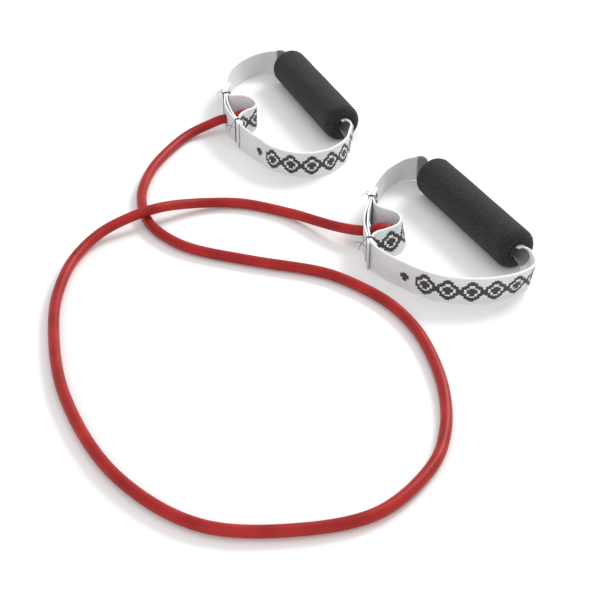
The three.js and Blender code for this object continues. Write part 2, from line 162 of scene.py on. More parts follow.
# The tube's route between its two straight stretches, from the left handle to the right one.
ROUTE = [
    (-0.1365, 0.0733, 0.0093), (-0.154, 0.0625, 0.0054), (-0.171, 0.034, LYING), (-0.183, 0.001, LYING),
    (-0.188, -0.035, LYING), (-0.1855, -0.060, LYING), (-0.177, -0.086, LYING), (-0.160, -0.108, LYING),
    (-0.140, -0.1225, LYING), (-0.093, -0.139, LYING), (-0.037, -0.1555, LYING),
    (-0.012, -0.1725, LYING), (0.011, -0.196, LYING), (0.028, -0.227, LYING), (0.038, -0.264, LYING),
    (0.042, -0.302, LYING), (0.039, -0.339, LYING), (0.028, -0.3715, LYING), (-0.009, -0.414, LYING),
    (-0.060, -0.4285, LYING), (-0.118, -0.4245, LYING), (-0.173, -0.382, LYING),
    (-0.217, -0.302, LYING), (-0.236, -0.221, LYING), (-0.238, -0.176, LYING), (-0.231, -0.134, 0.005),
    (-0.213, -0.1035, 0.0086), (-0.189, -0.086, 0.0126), (-0.176, -0.078, 0.013),
    (-0.162, -0.069, 0.0112), (-0.133, -0.056, 0.006), (-0.103, -0.0545, LYING),
    (-0.064, -0.070, 0.0048), (-0.027, -0.0985, 0.0102),
]

# How finely the pieces are meshed
TUBE_STEP = 0.0025
TUBE_SIDES = 36
WEB_STEP = 0.0014
WEB_CELLS = 24
TURNED_SIDES = 96

# The rounded selvedge, in halves of the webbing's thickness: where its rounding starts, and its flat middle
SELVEDGE_ROUND = 0.7
SELVEDGE_FLAT = 0.45

UV_NAME = "lay"  # distance along and across a piece, in metres


# ------------------------------------------------------------------ camera


def make_camera():
    """The photograph's viewpoint: looking along +Y and down, with its optical axis a little off centre."""
    image_width = 600
    focal_length_in_pixels = 1348
    axis_off_centre = Vector((8, -4))
    pitch = 35.7
    data = bpy.data.cameras.new("camera")
    data.sensor_width = 36
    data.lens = focal_length_in_pixels / image_width * data.sensor_width
    data.shift_x, data.shift_y = axis_off_centre / image_width
    data.clip_start, data.clip_end = 0.05, 50
    camera = bpy.data.objects.new("camera", data)
    camera.location = (-0.062, -1.008, 0.595)
    camera.rotation_euler = (math.radians(90 - pitch), 0, 0)
    bpy.context.scene.collection.objects.link(camera)
    bpy.context.scene.camera = camera


# ------------------------------------------------------------------ curves


def spline(points, step):
    """Points about a step apart on the centripetal Catmull-Rom curve through the given ones."""
    points = [Vector(p) for p in points]
    ends = [2 * points[0] - points[1], *points, 2 * points[-1] - points[-2]]
    found = []
    for p0, p1, p2, p3 in zip(ends, ends[1:], ends[2:], ends[3:]):
        knots = [0.0]
        for a, b in ((p0, p1), (p1, p2), (p2, p3)):
            knots.append(knots[-1] + math.sqrt((b - a).length))
        t0, t1, t2, t3 = knots
        count = max(1, math.ceil((p2 - p1).length / step))
        for k in range(count):
            t = t1 + (t2 - t1) * k / count
            a1 = p0.lerp(p1, (t - t0) / (t1 - t0))
            a2 = p1.lerp(p2, (t - t1) / (t2 - t1))
            a3 = p2.lerp(p3, (t - t2) / (t3 - t2))
            b1 = a1.lerp(a2, (t - t0) / (t2 - t0))
            b2 = a2.lerp(a3, (t - t1) / (t3 - t1))
            found.append(b1.lerp(b2, (t - t1) / (t2 - t1)))
    found.append(points[-1].copy())
    return found


def distances(points):
    """Distance of each point from the first one, along the line."""
    found = [0.0]
    for a, b in zip(points, points[1:]):
        found.append(found[-1] + (b - a).length)
    return found


def interpolated(x, table):
    """The value at x in a table of (x, value) rows, level outside it."""
    if x <= table[0][0]:
        return table[0][1]
    for (x0, y0), (x1, y1) in zip(table, table[1:]):
        if x <= x1:
            return y0 + (y1 - y0) * (x - x0) / (x1 - x0)
    return table[-1][1]


def smoothstep(x, low, high):
    t = min(max((x - low) / (high - low), 0.0), 1.0)
    return t * t * (3 - 2 * t)


def from_point(origin, turn, along, across, z=0.0):
    """A point along and across a direction that is turned from +X, in degrees, about +Z."""
    c, s = math.cos(math.radians(turn)), math.sin(math.radians(turn))
    return Vector((origin[0] + along * c - across * s, origin[1] + along * s + across * c, z))


def standing(origin, turn, height):
    """The frame at a point in plan and a height, with its +X turned from the world's, in degrees."""
    place = Matrix.Translation((origin[0], origin[1], height))
    return place @ Matrix.Rotation(math.radians(turn), 4, "Z")


# ------------------------------------------------------------------ meshes


def make_object(name, vertices, faces, materials, face_uvs=None, face_materials=None):
    mesh = bpy.data.meshes.new(name)
    mesh.from_pydata([tuple(v) for v in vertices], [], faces)
    if face_uvs:
        layer = mesh.uv_layers.new(name=UV_NAME)
        for polygon, uvs in zip(mesh.polygons, face_uvs):
            for loop, uv in zip(polygon.loop_indices, uvs):
                layer.data[loop].uv = uv
    for material in materials:
        mesh.materials.append(material)
    if face_materials:
        mesh.polygons.foreach_set("material_index", face_materials)
    mesh.shade_smooth()
    mesh.update()
    made = bpy.data.objects.new(name, mesh)
    bpy.context.scene.collection.objects.link(made)
    return made


def swept(name, rings, along, around, materials, closed_ends=True, face_materials=None):
    """A closed skin over rings of equal size. along and around give each point's place, for the finish."""
    size = len(rings[0])
    vertices = [v for ring in rings for v in ring]
    faces, uvs, slots = [], [], []
    for i in range(len(rings) - 1):
        for j in range(size):
            k = (j + 1) % size
            faces.append((i * size + j, i * size + k, (i + 1) * size + k, (i + 1) * size + j))
            a0, a1 = around[j], around[j + 1]
            uvs.append(((along[i], a0), (along[i], a1), (along[i + 1], a1), (along[i + 1], a0)))
            slots.append(face_materials[j] if face_materials else 0)
    if closed_ends:
        last = (len(rings) - 1) * size
        faces.append(tuple(reversed(range(size))))
        faces.append(tuple(range(last, last + size)))
        for i in (0, len(rings) - 1):
            uvs.append([(along[i], around[j]) for j in range(size)])
            slots.append(0)
        uvs[-2] = list(reversed(uvs[-2]))
    return make_object(name, vertices, faces, materials, uvs, slots)


def turned(name, profile, place, material, sides=TURNED_SIDES):
    """A closed solid of revolution about a frame's +X, from a profile of (x, radius) points."""
    on_axis = profile[0][1] == 0
    rows = profile[1:-1] if on_axis else profile
    rings = []
    for x, radius in rows:
        angles = [2 * math.pi * j / sides for j in range(sides)]
        rings.append([place @ Vector((x, radius * math.cos(a), radius * math.sin(a))) for a in angles])
    around = [2 * math.pi * rows[0][1] * j / sides for j in range(sides + 1)]
    along = [0.0]
    for (x0, r0), (x1, r1) in zip(rows, rows[1:]):
        along.append(along[-1] + math.hypot(x1 - x0, r1 - r0))
    if not on_axis:
        rings.append(rings[0])
        x0, r0 = rows[-1]
        x1, r1 = rows[0]
        along.append(along[-1] + math.hypot(x1 - x0, r1 - r0))
    made = swept(name, rings, along, around, [material], closed_ends=on_axis)
    if not on_axis:
        welded(made)
    return outward(made)


def welded(made, distance=1e-7):
    work = bmesh.new()
    work.from_mesh(made.data)
    bmesh.ops.remove_doubles(work, verts=work.verts, dist=distance)
    work.to_mesh(made.data)
    work.free()


def outward(made):
    """Turns every face of a closed mesh outwards."""
    work = bmesh.new()
    work.from_mesh(made.data)
    bmesh.ops.recalc_face_normals(work, faces=work.faces)
    work.to_mesh(made.data)
    work.free()
    return made


def arc(centre_x, centre_radius, size, start, end, steps=10):
    """Points of a profile on an arc, with angles in degrees from +X towards the outside."""
    found = []
    for i in range(steps + 1):
        angle = math.radians(start + (end - start) * i / steps)
        found.append((centre_x + size * math.cos(angle), centre_radius + size * math.sin(angle)))
    return found


def thread(name, points, radius, material, step=0.0004, sides=8):
    """A thread along a smooth line through the given points."""
    return tube_along(name, spline(points, step), lambda _: radius, sides, material)


def frames_along(line):
    """A direction and two directions across it at each point of a line, without twist."""
    found = []
    side = None
    for i, point in enumerate(line):
        ahead = (line[min(i + 1, len(line) - 1)] - line[max(i - 1, 0)]).normalized()
        if side is None:
            up = Vector((0, 0, 1)) if abs(ahead.z) < 0.9 else Vector((0, 1, 0))
            side = up.cross(ahead).normalized()
        side = (side - ahead * side.dot(ahead)).normalized()
        found.append((point, side, ahead.cross(side)))
    return found


def tube_along(name, line, radius_at, sides, material):
    along = distances(line)
    rings = []
    for (point, side, up), s in zip(frames_along(line), along):
        radius = radius_at(s)
        angles = [2 * math.pi * j / sides for j in range(sides)]
        rings.append([point + (side * math.cos(a) + up * math.sin(a)) * radius for a in angles])
    around = [2 * math.pi * radius_at(along[-1] / 2) * j / sides for j in range(sides + 1)]
    return outward(swept(name, rings, along, around, [material]))


def cut(made, tools):
    """Cuts closed meshes out of a piece and removes them."""
    for tool in tools:
        modifier = made.modifiers.new("cut", "BOOLEAN")
        modifier.operation = "DIFFERENCE"
        modifier.solver = "EXACT"
        modifier.object = tool
        graph = bpy.context.evaluated_depsgraph_get()
        done = bpy.data.meshes.new_from_object(made.evaluated_get(graph))
        made.modifiers.clear()
        made.data = done
        bpy.data.objects.remove(tool)
    made.data.shade_smooth()
    return made


# ------------------------------------------------------------------ materials


class Nodes:
    """A material's node tree, with short ways to add nodes to it."""

    def __init__(self, name):
        self.material = bpy.data.materials.new(name)
        self.material.use_nodes = True
        self.tree = self.material.node_tree
        self.shader = self.tree.nodes["Principled BSDF"]

    def add(self, kind, inputs=None, **settings):
        node = self.tree.nodes.new(kind)
        for key, value in settings.items():
            setattr(node, key, value)
        for key, value in (inputs or {}).items():
            self.feed(node.inputs[key], value)
        return node

    def feed(self, socket, value):
        if isinstance(value, bpy.types.NodeSocket):
            self.tree.links.new(value, socket)
        else:
            socket.default_value = value

    def math(self, operation, *values):
        node = self.add("ShaderNodeMath", operation=operation)
        for socket, value in zip(node.inputs, values):
            self.feed(socket, value)
        return node.outputs[0]

    def mixed(self, factor, a, b):
        node = self.add("ShaderNodeMix", data_type="RGBA")
        self.feed(node.inputs["Factor"], factor)
        self.feed(node.inputs["A"], a)
        self.feed(node.inputs["B"], b)
        return node.outputs["Result"]

    def ranged(self, value, low, high, to_low=0.0, to_high=1.0):
        names = ("Value", "From Min", "From Max", "To Min", "To Max")
        inputs = dict(zip(names, (value, low, high, to_low, to_high)))
        return self.add("ShaderNodeMapRange", inputs).outputs["Result"]

    def place(self):
        """The point on the object, in metres."""
        return self.add("ShaderNodeTexCoord").outputs["Object"]

    def lay(self):
        """Distance along and across the piece, in metres."""
        node = self.add("ShaderNodeUVMap", uv_map=UV_NAME)
        split = self.add("ShaderNodeSeparateXYZ", {"Vector": node.outputs["UV"]})
        return split.outputs["X"], split.outputs["Y"]

    def noise(self, scale, detail=3.0, vector=None):
        inputs = {"Vector": vector or self.place(), "Scale": scale, "Detail": detail}
        return self.add("ShaderNodeTexNoise", inputs).outputs["Fac"]

    def bump(self, height, strength, distance, under=None):
        inputs = {"Height": height, "Strength": strength, "Distance": distance}
        if under:
            inputs["Normal"] = under
        return self.add("ShaderNodeBump", inputs).outputs["Normal"]

    def finish(self, **inputs):
        for key, value in inputs.items():
            self.feed(self.shader.inputs[key.replace("_", " ")], value)
        return self.material


def rubber_finish():
    """Dipped latex: deep red, a little cloudy, with fine draw lines along the tube and a faint bloom."""
    nodes = Nodes("rubber")
    along, around = nodes.lay()
    drawn = nodes.add("ShaderNodeCombineXYZ", {"X": nodes.math("MULTIPLY", along, 25.0), "Y": around})
    lines = nodes.noise(1800.0, 2.0, drawn.outputs["Vector"])
    cloud = nodes.noise(38.0, 4.0)
    bloom = nodes.noise(900.0, 5.0)
    deep, fresh = (0.24, 0.007, 0.007, 1), (0.40, 0.018, 0.015, 1)
    dusty = (0.45, 0.06, 0.05, 1)
    base = nodes.mixed(nodes.ranged(cloud, 0.3, 0.7), deep, fresh)
    base = nodes.mixed(nodes.ranged(bloom, 0.52, 0.75, 0.0, 0.2), base, dusty)
    roughness = nodes.ranged(bloom, 0.3, 0.7, 0.36, 0.52)
    normal = nodes.bump(lines, 0.25, 0.00012, nodes.bump(bloom, 0.2, 0.00008))
    return nodes.finish(
        Base_Color=base,
        Roughness=roughness,
        Normal=normal,
        Subsurface_Weight=0.05,
        Subsurface_Radius=(1.0, 0.1, 0.08),
        Subsurface_Scale=0.002,
        Specular_IOR_Level=0.22,
    )


def foam_finish():
    """Closed-cell foam: charcoal, matte, finely pitted and speckled, the speckle painted lighter on raised
    points and darker in the pits, as light and shade.
    """
    nodes = Nodes("foam")
    place = nodes.place()
    cells = nodes.add("ShaderNodeTexVoronoi", {"Vector": place, "Scale": 1300.0}).outputs["Distance"]
    speckle = nodes.noise(1100.0, 3.0)
    patch = nodes.noise(60.0, 5.0)
    base = nodes.mixed(nodes.ranged(patch, 0.3, 0.7), (0.015, 0.015, 0.016, 1), (0.020, 0.020, 0.021, 1))
    # painted light and shade: the speckle follows the bump, lighter on raised points and darker in the pits
    base = nodes.mixed(nodes.ranged(speckle, 0.50, 0.66, 0.0, 0.8), base, (0.050, 0.050, 0.052, 1))
    base = nodes.mixed(nodes.ranged(speckle, 0.34, 0.48, 0.9, 0.0), base, (0.005, 0.005, 0.006, 1))
    height = nodes.math("ADD", cells, nodes.math("MULTIPLY", speckle, 1.5))
    normal = nodes.bump(height, 0.7, 0.0004)
    return nodes.finish(
        Base_Color=base,
        Roughness=nodes.ranged(patch, 0.3, 0.7, 0.82, 0.95),
        Normal=normal,
        Sheen_Weight=0.06,
        Sheen_Roughness=0.6,
        Specular_IOR_Level=0.2,
    )


def woven_height(nodes, along, across, rib, warp):
    """A plain weave's height: ribs across the webbing, out of step from one warp thread to the next."""
    swing, level = 0.35, 0.65
    turn = nodes.math("MULTIPLY", along, 2 * math.pi / rib)
    row = nodes.math("FLOOR", nodes.math("DIVIDE", across, warp))
    over = nodes.math("SINE", nodes.math("ADD", turn, nodes.math("MULTIPLY", row, math.pi)))
    between = nodes.math("ABSOLUTE", nodes.math("SINE", nodes.math("MULTIPLY", across, math.pi / warp)))
    lifted = nodes.math("MULTIPLY_ADD", over, swing, level)
    return nodes.math("MULTIPLY", between, lifted)


def lozenges(nodes, along, across, rib, warp):
    """Where the dark yarn shows, stepped from thread to thread.

    Going away from the grip: a chain of lozenges with solid hearts, a stretch with the hearts alone, the
    plain panel, and the chain again on the pocket.
    """
    repeat, middle, reach = 0.0180, 0.0118, 0.0086
    chain_from, chain_to, hearts_to, chain_again = 0.002, 0.126, 0.150, 0.238
    outline_width, heart_size, chain_edge = 0.26, 0.52, 1.02  # as shares of half a lozenge
    stepped_along = nodes.math("SNAP", along, rib)
    stepped_across = nodes.math("SNAP", across, warp)
    off = nodes.math("ABSOLUTE", nodes.math("SUBTRACT", stepped_across, middle))
    high = nodes.math("DIVIDE", off, reach)
    swing = nodes.math("PINGPONG", stepped_along, repeat / 2)
    wide = nodes.math("DIVIDE", swing, repeat / 2)
    rising = nodes.math("ABSOLUTE", nodes.math("SUBTRACT", high, wide))
    outline = nodes.math("LESS_THAN", rising, outline_width)
    from_heart = nodes.math("ADD", high, nodes.math("SUBTRACT", 1.0, wide))
    heart = nodes.math("LESS_THAN", from_heart, heart_size)
    beyond = nodes.math("MAXIMUM", along, nodes.math("SUBTRACT", -GRIP_LENGTH, along))

    def between(low, high_end):
        past_low = nodes.math("GREATER_THAN", beyond, low)
        return nodes.math("MULTIPLY", past_low, nodes.math("LESS_THAN", beyond, high_end))

    near = between(chain_from, chain_to)
    chain = nodes.math("MAXIMUM", near, nodes.math("GREATER_THAN", beyond, chain_again))
    inside = nodes.math("MULTIPLY", chain, nodes.math("LESS_THAN", high, chain_edge))
    drawn = nodes.math("MAXIMUM", outline, heart)
    in_chain = nodes.math("MULTIPLY", drawn, inside)
    alone = nodes.math("MULTIPLY", heart, between(chain_to, hearts_to))
    return nodes.math("MAXIMUM", in_chain, alone)


def webbing_finish(name, patterned):
    """Woven polyester webbing, white, with bright selvedges.

    The outer face has a charcoal chain, and the inner face has the grip's shadow painted on it for a stretch
    at each mouth of the grip.
    """
    rib, warp = 0.0020, 0.0012
    # the last colour here is painted shade, for the hollows between the weave's threads
    white, shaded, gap_shade = (0.93, 0.93, 0.93, 1), (0.84, 0.84, 0.85, 1), (0.26, 0.26, 0.28, 1)
    # the second colour here is the grip's painted shadow, for the inner face at its mouths
    selvedge, grip_shadow_colour = (0.94, 0.94, 0.94, 1), (0.10, 0.10, 0.105, 1)
    sunk_yarn_shade, raised_yarn = (0.008, 0.008, 0.010, 1), (0.034, 0.033, 0.038, 1)
    selvedge_from, selvedge_to = 0.0009, 0.0013
    front_shadow_full, front_clear = 0.0075, 0.0095  # from the front mouth, where the grip's painted shadow fades out
    back_shadow_full, back_clear = 0.0205, 0.0225  # the same from the back mouth
    # how much painted shade shows in the weave's hollows
    gap_shade_shows = 0.6 if patterned else 0.4

    nodes = Nodes(name)
    along, across = nodes.lay()
    height = woven_height(nodes, along, across, rib, warp)
    soiled = nodes.noise(45.0, 4.0)
    base = nodes.mixed(nodes.ranged(soiled, 0.35, 0.7), white, shaded)
    # painted shade in the weave's hollows, where the threads part
    base = nodes.mixed(nodes.ranged(height, 0.1, 0.75, gap_shade_shows, 0.0), base, gap_shade)
    if patterned:
        dark = lozenges(nodes, along, across, rib, warp)
        # the dark yarn is painted darker where it sinks into the weave, as shade
        yarn = nodes.mixed(nodes.ranged(height, 0.1, 0.8), sunk_yarn_shade, raised_yarn)
        base = nodes.mixed(nodes.math("MULTIPLY", dark, 0.95), base, yarn)
    to_edge = nodes.math("MINIMUM", across, nodes.math("SUBTRACT", WEB_WIDTH, across))
    base = nodes.mixed(nodes.ranged(to_edge, selvedge_from, selvedge_to, 0.9, 0.0), base, selvedge)
    if not patterned:
        # painted shadow of the grip on the inner face, for a stretch from each mouth
        front = nodes.ranged(along, front_shadow_full, front_clear, 0.9, 0.0)
        back = nodes.ranged(along, -GRIP_LENGTH - back_clear, -GRIP_LENGTH - back_shadow_full, 0.0, 0.9)
        base = nodes.mixed(nodes.math("MULTIPLY", front, back), base, grip_shadow_colour)
    return nodes.finish(
        Base_Color=base,
        Roughness=nodes.ranged(height, 0.0, 1.0, 0.95, 0.75),
        Normal=nodes.bump(height, 0.7, 0.0003),
        Sheen_Weight=0.1,
        Sheen_Roughness=0.5,
        Specular_IOR_Level=0.25,
    )


def thread_finish():
    """Charcoal sewing thread, with its twist."""
    nodes = Nodes("thread")
    along, around = nodes.lay()
    twist = nodes.math("MULTIPLY_ADD", around, 2400.0, nodes.math("MULTIPLY", along, 5200.0))
    ply = nodes.math("SINE", twist)
    # painted shade: the twist's grooves are darker, following the same ply that bumps the surface
    base = nodes.mixed(nodes.ranged(ply, -1.0, 1.0), (0.006, 0.006, 0.007, 1), (0.020, 0.020, 0.023, 1))
    normal = nodes.bump(ply, 0.3, 0.00004)
    roughness = nodes.ranged(ply, -1.0, 1.0, 0.9, 0.78)
    return nodes.finish(Base_Color=base, Roughness=roughness, Normal=normal, Specular_IOR_Level=0.12)


def moulded_finish(name, dark, light, roughness):
    """Moulded plastic: a fine eggshell grain and faint flow marks."""
    nodes = Nodes(name)
    flow = nodes.noise(70.0, 4.0)
    grain = nodes.noise(2600.0, 2.0)
    base = nodes.mixed(nodes.ranged(flow, 0.3, 0.7), dark, light)
    shine = nodes.ranged(grain, 0.3, 0.7, roughness - 0.06, roughness + 0.08)
    return nodes.finish(Base_Color=base, Roughness=shine, Normal=nodes.bump(grain, 0.15, 0.00006))


def steel_finish():
    """Plated steel with fine turning marks and a little dulling."""
    nodes = Nodes("steel")
    scratches = nodes.noise(1400.0, 6.0)
    dull = nodes.noise(160.0, 3.0)
    base = nodes.mixed(nodes.ranged(dull, 0.35, 0.7), (0.62, 0.62, 0.63, 1), (0.47, 0.47, 0.48, 1))
    roughness = nodes.ranged(scratches, 0.3, 0.7, 0.22, 0.42)
    normal = nodes.bump(scratches, 0.1, 0.00003)
    return nodes.finish(Base_Color=base, Roughness=roughness, Normal=normal, Metallic=1.0)


def floor_finish():
    nodes = Nodes("floor")
    tone = nodes.noise(3.0, 2.0)
    base = nodes.mixed(tone, (0.90, 0.90, 0.90, 1), (0.92, 0.92, 0.92, 1))
    return nodes.finish(Base_Color=base, Roughness=0.9)


# ------------------------------------------------------------------ tube


def tube_line():
    def on_axis(handle, inward):
        return from_point(handle["hole"], handle["panel_turn"], inward, 0, WEB_MIDDLE)

    points = [
        on_axis(LEFT, TUBE_END), on_axis(LEFT, 0), on_axis(LEFT, -STRAIGHT_LEAD),
        *ROUTE,
        on_axis(RIGHT, -STRAIGHT_LEAD), on_axis(RIGHT, 0), on_axis(RIGHT, TUBE_END),
    ]
    return spline(points, TUBE_STEP)


def make_tubing(material):
    """The tube, swollen over its two plugs, with each end open as far as the plug goes in."""
    line = tube_line()
    along = distances(line)
    frames = frames_along(line)
    length = along[-1]
    angles = [2 * math.pi * j / TUBE_SIDES for j in range(TUBE_SIDES)]

    def ring(i, radius):
        point, side, up = frames[i]
        return [point + (side * math.cos(a) + up * math.sin(a)) * radius for a in angles]

    def skin_radius(i):
        worn = 1 + 0.012 * noise.noise(line[i] * 30)
        return interpolated(min(along[i], length - along[i]), SWELLING) * worn

    in_socket = [i for i in range(len(line)) if along[i] <= SOCKET_DEPTH]
    out_socket = [i for i in range(len(line)) if length - along[i] <= SOCKET_DEPTH]
    rings, lay = [], []
    for i in reversed(in_socket):
        rings.append(ring(i, interpolated(along[i], SOCKET)))
        lay.append(-along[i])
    for i in range(len(line)):
        rings.append(ring(i, skin_radius(i)))
        lay.append(along[i])
    for i in reversed(out_socket):
        rings.append(ring(i, interpolated(length - along[i], SOCKET)))
        lay.append(2 * length - along[i])
    around = [2 * math.pi * TUBE_RADIUS * j / TUBE_SIDES for j in range(TUBE_SIDES + 1)]
    made = outward(swept("tube", rings, lay, around, [material]))
    bevel_crease(made)
    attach(made, "tube")
    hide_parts("tubing")
    return made, line


def bevel_crease(made):
    """Keeps the flat ends crisp by giving sharp corners their own normals."""
    limit = math.radians(50)
    work = bmesh.new()
    work.from_mesh(made.data)
    for edge in work.edges:
        if len(edge.link_faces) == 2 and edge.calc_face_angle() > limit:
            edge.smooth = False
    work.to_mesh(made.data)
    work.free()


# ------------------------------------------------------------------ webbing


def webbing_line(handle):
    """The webbing seen from above, from one cut end to the other.

    Each row holds its centre, with the lean as its z, and the distance from the grip.
    """
    steps_inside = 20

    def on_panel(point):
        inward, up, *lean = point
        return from_point(handle["hole"], handle["panel_turn"], inward, up, *lean)

    def on_grip(along):
        return from_point(handle["grip"], handle["grip_turn"], along, CURL_RADIUS)

    def in_plan(point):
        return Vector((point[0], point[1], point[2] if len(point) > 2 else 0.0))

    def layer(at_seams, at_hole):
        """Up the panel, a given pitch outside its inner layer at the seams and another at the hole."""
        seams = PANEL_BOW - at_seams
        shoulders = SHOULDER_BOW - (at_seams + at_hole) / 2
        return [
            (seams, lower - SEWN), (seams, lower + SEWN), (shoulders, -PANEL_SHOULDER),
            (-at_hole, -PANEL_FLAT), (-at_hole, PANEL_FLAT), (shoulders, PANEL_SHOULDER),
            (seams, upper - SEWN), (seams, upper + SEWN),
        ]

    def tail(at_seams, bend):
        seams = PANEL_BOW - at_seams
        return [(seams + bend / 3, lower - CUT_END / 2), (seams + bend, lower - CUT_END)]

    half = GRIP_LENGTH / 2
    upper, lower = handle["upper_seam"], handle["lower_seam"]
    outer_bend, inner_bend = handle["tail_bends"]
    flap = handle["flap"]
    tip_x, tip_y = flap[-1]
    fold = [(tip_x + LAYER / 2, tip_y + LAYER / 2), (tip_x + LAYER, tip_y)]
    flap_down = [(x + LAYER, y) for x, y in reversed(flap[:-1])]
    inner = PANEL_BOW + LAYER
    start_on_panel = [*reversed(tail(LAYER, outer_bend)), *layer(LAYER, EYELET_LAYER)]
    end_on_panel = [
        *layer(0, 0), *flap, *fold, *flap_down, (inner, upper + SEWN), (inner, upper - SEWN),
        *handle["pocket"], (inner, lower + SEWN), (inner, lower - SEWN), *tail(-LAYER, inner_bend),
    ]

    to_grip = spline(
        [*map(on_panel, start_on_panel), *map(in_plan, handle["back_arm"]), on_grip(-half - MOUTH_LEAD),
         on_grip(-half)],
        WEB_STEP,
    )
    from_grip = spline(
        [on_grip(half), on_grip(half + MOUTH_LEAD), *map(in_plan, handle["front_arm"]),
         *map(on_panel, end_on_panel)],
        WEB_STEP,
    )
    inside = [to_grip[-1].lerp(from_grip[0], k / steps_inside) for k in range(1, steps_inside)]
    before = [distances(to_grip)[-1] - s for s in distances(to_grip)]
    line = [*zip(to_grip, before), *((p, 0.0) for p in inside), *zip(from_grip, distances(from_grip))]
    return line


def webbing_ring(centre, outward_way, from_grip, s):
    """A cross-section, up the outer face and down the inner one, with rounded selvedges.

    It stands upright where the webbing is flat. Where the grip holds it, it curls into a C, its edges inwards.
    """
    ripple_height, ripple_from = 0.00012, 0.02
    curl = 1 - smoothstep(from_grip, 0, UNCURL_LENGTH)
    lift = 1 - smoothstep(from_grip, 0, SETTLE_LENGTH)
    tilt = math.asin(centre.z / WEB_WIDTH)
    up = Vector((0, 0, 1))
    face_way = outward_way * math.cos(tilt) + up * math.sin(tilt)
    width_way = outward_way * -math.sin(tilt) + up * math.cos(tilt)
    on_corner = WEB_THICKNESS / 2 * abs(math.sin(tilt))
    middle = WEB_MIDDLE + (GRIP_RADIUS - WEB_MIDDLE) * lift + on_corner
    bend = curl / CURL_RADIUS
    base = Vector((centre.x, centre.y, middle))
    free = smoothstep(from_grip, 0.0, ripple_from)

    def at(across, offset):
        angle = bend * across
        chord = math.sin(angle) / bend if bend > 1e-4 else across
        sink = (1 - math.cos(angle)) / bend if bend > 1e-4 else 0.0
        ripple = ripple_height * free * noise.noise(Vector((s * 60, across * 90, 3.7)))
        return (
            base
            + face_way * (offset * math.cos(angle) - sink + ripple)
            + width_way * (chord + offset * math.sin(angle))
        )

    half = WEB_THICKNESS / 2
    reach = WEB_WIDTH / 2 - half * SELVEDGE_ROUND
    across = [reach * (2 * j / WEB_CELLS - 1) for j in range(WEB_CELLS + 1)]
    ring = [at(a, half) for a in across]
    ring += [at(WEB_WIDTH / 2, half * SELVEDGE_FLAT), at(WEB_WIDTH / 2, -half * SELVEDGE_FLAT)]
    ring += [at(a, -half) for a in reversed(across)]
    ring += [at(-WEB_WIDTH / 2, -half * SELVEDGE_FLAT), at(-WEB_WIDTH / 2, half * SELVEDGE_FLAT)]
    return ring


def webbing_around():
    """Distance from the lower edge for each point of a ring, and which face each of its sides is on."""
    half = WEB_THICKNESS / 2
    reach = WEB_WIDTH / 2 - half * SELVEDGE_ROUND
    low = WEB_WIDTH / 2 - reach
    across = [low + 2 * reach * j / WEB_CELLS for j in range(WEB_CELLS + 1)]
    around = [*across, WEB_WIDTH, WEB_WIDTH, *reversed(across), 0.0, 0.0]
    outer, edge, inner = [0] * WEB_CELLS, [1] * 3, [1] * WEB_CELLS
    return [*around, around[0]], [*outer, *edge, *inner, *edge]


def make_strap(handle, outer, inner):
    line = webbing_line(handle)
    flat = [Vector((p.x, p.y, 0)) for p, _ in line]
    along = distances(flat)
    mouth = along[max(i for i, (_, from_grip) in enumerate(line) if from_grip == 0.0)]
    rings = []
    for i, (centre, from_grip) in enumerate(line):
        ahead = (flat[min(i + 1, len(flat) - 1)] - flat[max(i - 1, 0)]).normalized()
        rings.append(webbing_ring(centre, Vector((-ahead.y, ahead.x, 0)), from_grip, along[i]))
    around, sides = webbing_around()
    lay = [s - mouth for s in along]
    made = swept(f"{handle['name']}_webbing", rings, lay, around, [outer, inner], face_materials=sides)
    panel = standing(handle["hole"], handle["panel_turn"], WEB_MIDDLE)

    def drill(start, end, radius):
        profile = [(start, 0), (start, radius), (end, radius), (end, 0)]
        return turned("drill", profile, panel, inner, 48)

    outward(made)
    outside = -0.010  # clear of the outer layer
    cut(made, [
        drill(outside, -LAYER / 2, OUTER_HOLE_RADIUS),
        drill(-LAYER / 2, LAYER / 2, INNER_HOLE_RADIUS),
    ])
    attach(made, f"{handle['name']}_handle")
    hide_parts(f"{handle['name']}_strap")
    return made


# ------------------------------------------------------------------ seams


def bar_tack(name, place, y, material):
    """Zigzag stitches up both faces of the panel, and the turns of thread over its top edge."""
    face = LAYER + WEB_THICKNESS / 2
    low, high = -SEAM_HEIGHT / 2, SEAM_HEIGHT / 2
    pitch = 0.00052
    sunk, proud, crown = face - 0.0003, face + 0.00022, 0.00005
    turns, turn_spacing = 3, 0.0006
    top = WEB_WIDTH / 2 + 0.0004
    count = int(SEAM_HEIGHT / pitch)
    pieces = []
    for side in (-1, 1):
        for k in range(count):
            z = low + (k + 0.5) * pitch
            wobble = 0.00012 * noise.noise(Vector((k * 0.7, side, y * 90)))
            start, end = -SEAM_WIDTH / 2 + wobble, SEAM_WIDTH / 2 + wobble
            line = [
                (side * sunk, y + start, z - pitch / 4), (side * proud, y + start * 0.7, z - pitch / 6),
                (side * (proud + crown), y, z), (side * proud, y + end * 0.7, z + pitch / 6),
                (side * sunk, y + end, z + pitch / 4),
            ]
            pieces.append([place @ Vector(p) for p in line])
    for k in range(turns):
        across = y + (k - 1) * turn_spacing
        line = [
            (-face - 0.0001, across, high - 0.0005), (-face - 0.0002, across, top - 0.0005),
            (-face / 2, across + 0.0001, top), (face / 2, across - 0.0001, top),
            (face + 0.0002, across, top - 0.0005), (face + 0.0001, across, high - 0.0005),
        ]
        pieces.append([place @ Vector(p) for p in line])
    return joined(name, [thread(f"{name}_{i}", p, THREAD_RADIUS, material) for i, p in enumerate(pieces)])


def joined(name, pieces):
    with bpy.context.temp_override(active_object=pieces[0], selected_editable_objects=pieces):
        bpy.ops.object.join()
    pieces[0].name = name
    pieces[0].data.name = name
    return pieces[0]


